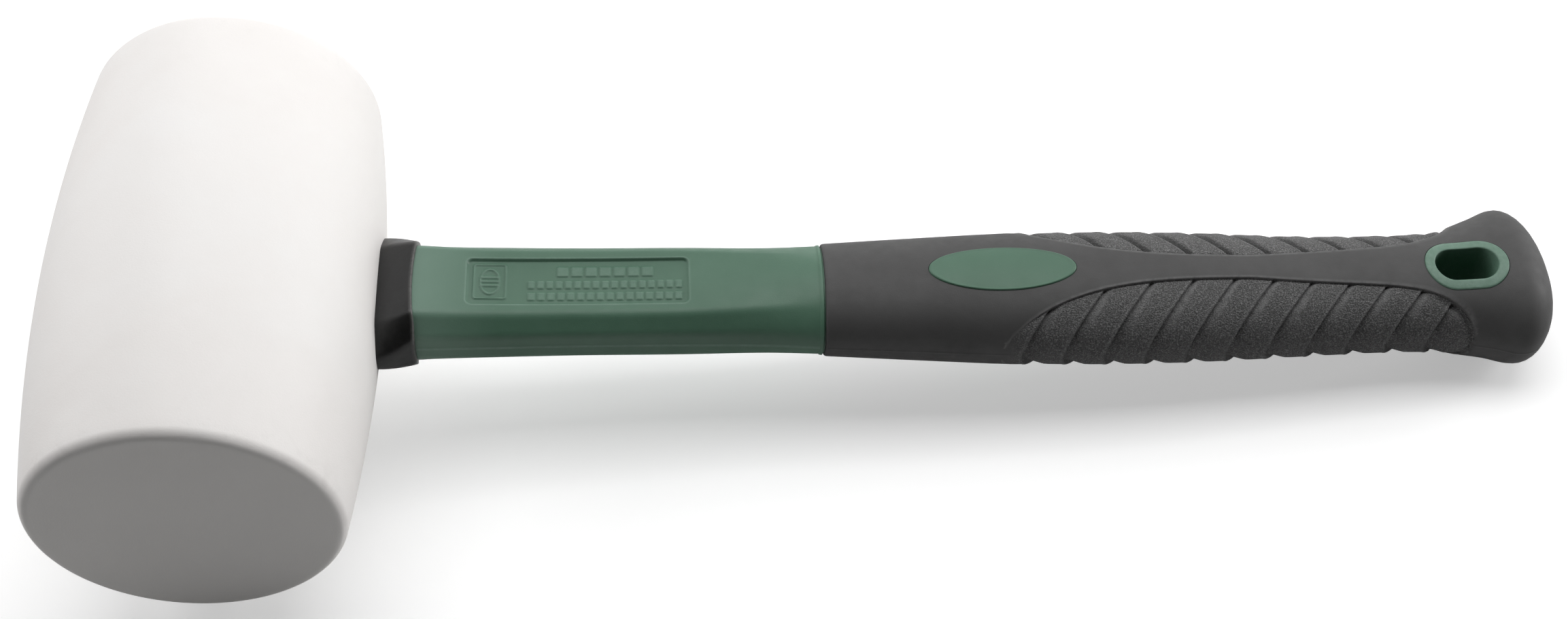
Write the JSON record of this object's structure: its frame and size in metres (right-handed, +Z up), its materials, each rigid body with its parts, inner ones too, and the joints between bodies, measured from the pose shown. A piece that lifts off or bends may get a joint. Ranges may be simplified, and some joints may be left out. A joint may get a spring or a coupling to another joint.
{
  "type": "rubber mallet",
  "caption": "Rubber mallet with a barrel head, a fibreglass-cored moulded handle, a ribbed soft grip and a hang slot through the butt.",
  "frame": {"origin": "centre of the near striking face, where the head's axis meets it", "axes": "+Y along the head's axis from the near striking face to the far one, +X along the handle from the head to the butt, +Z up with the mallet lying on its side"},
  "size_m": [0.3385, 0.115, 0.074],
  "materials": {
    "head_rubber": "matt off-white moulded rubber",
    "collar_rubber": "satin black rubber",
    "epoxy": "cast resin, satin",
    "fibreglass": "cut end of glass-fibre rod",
    "core_plastic": "satin green moulded polypropylene",
    "grip_rubber": "satin dark grey soft elastomer, pebbled at the sides"
  },
  "bodies": {
    "root": {"head": "head_rubber", "collar": "collar_rubber", "eye_bond": "epoxy", "core_rod": "fibreglass", "handle_core": "core_plastic", "grip": "grip_rubber"}
  },
  "joints": []
}
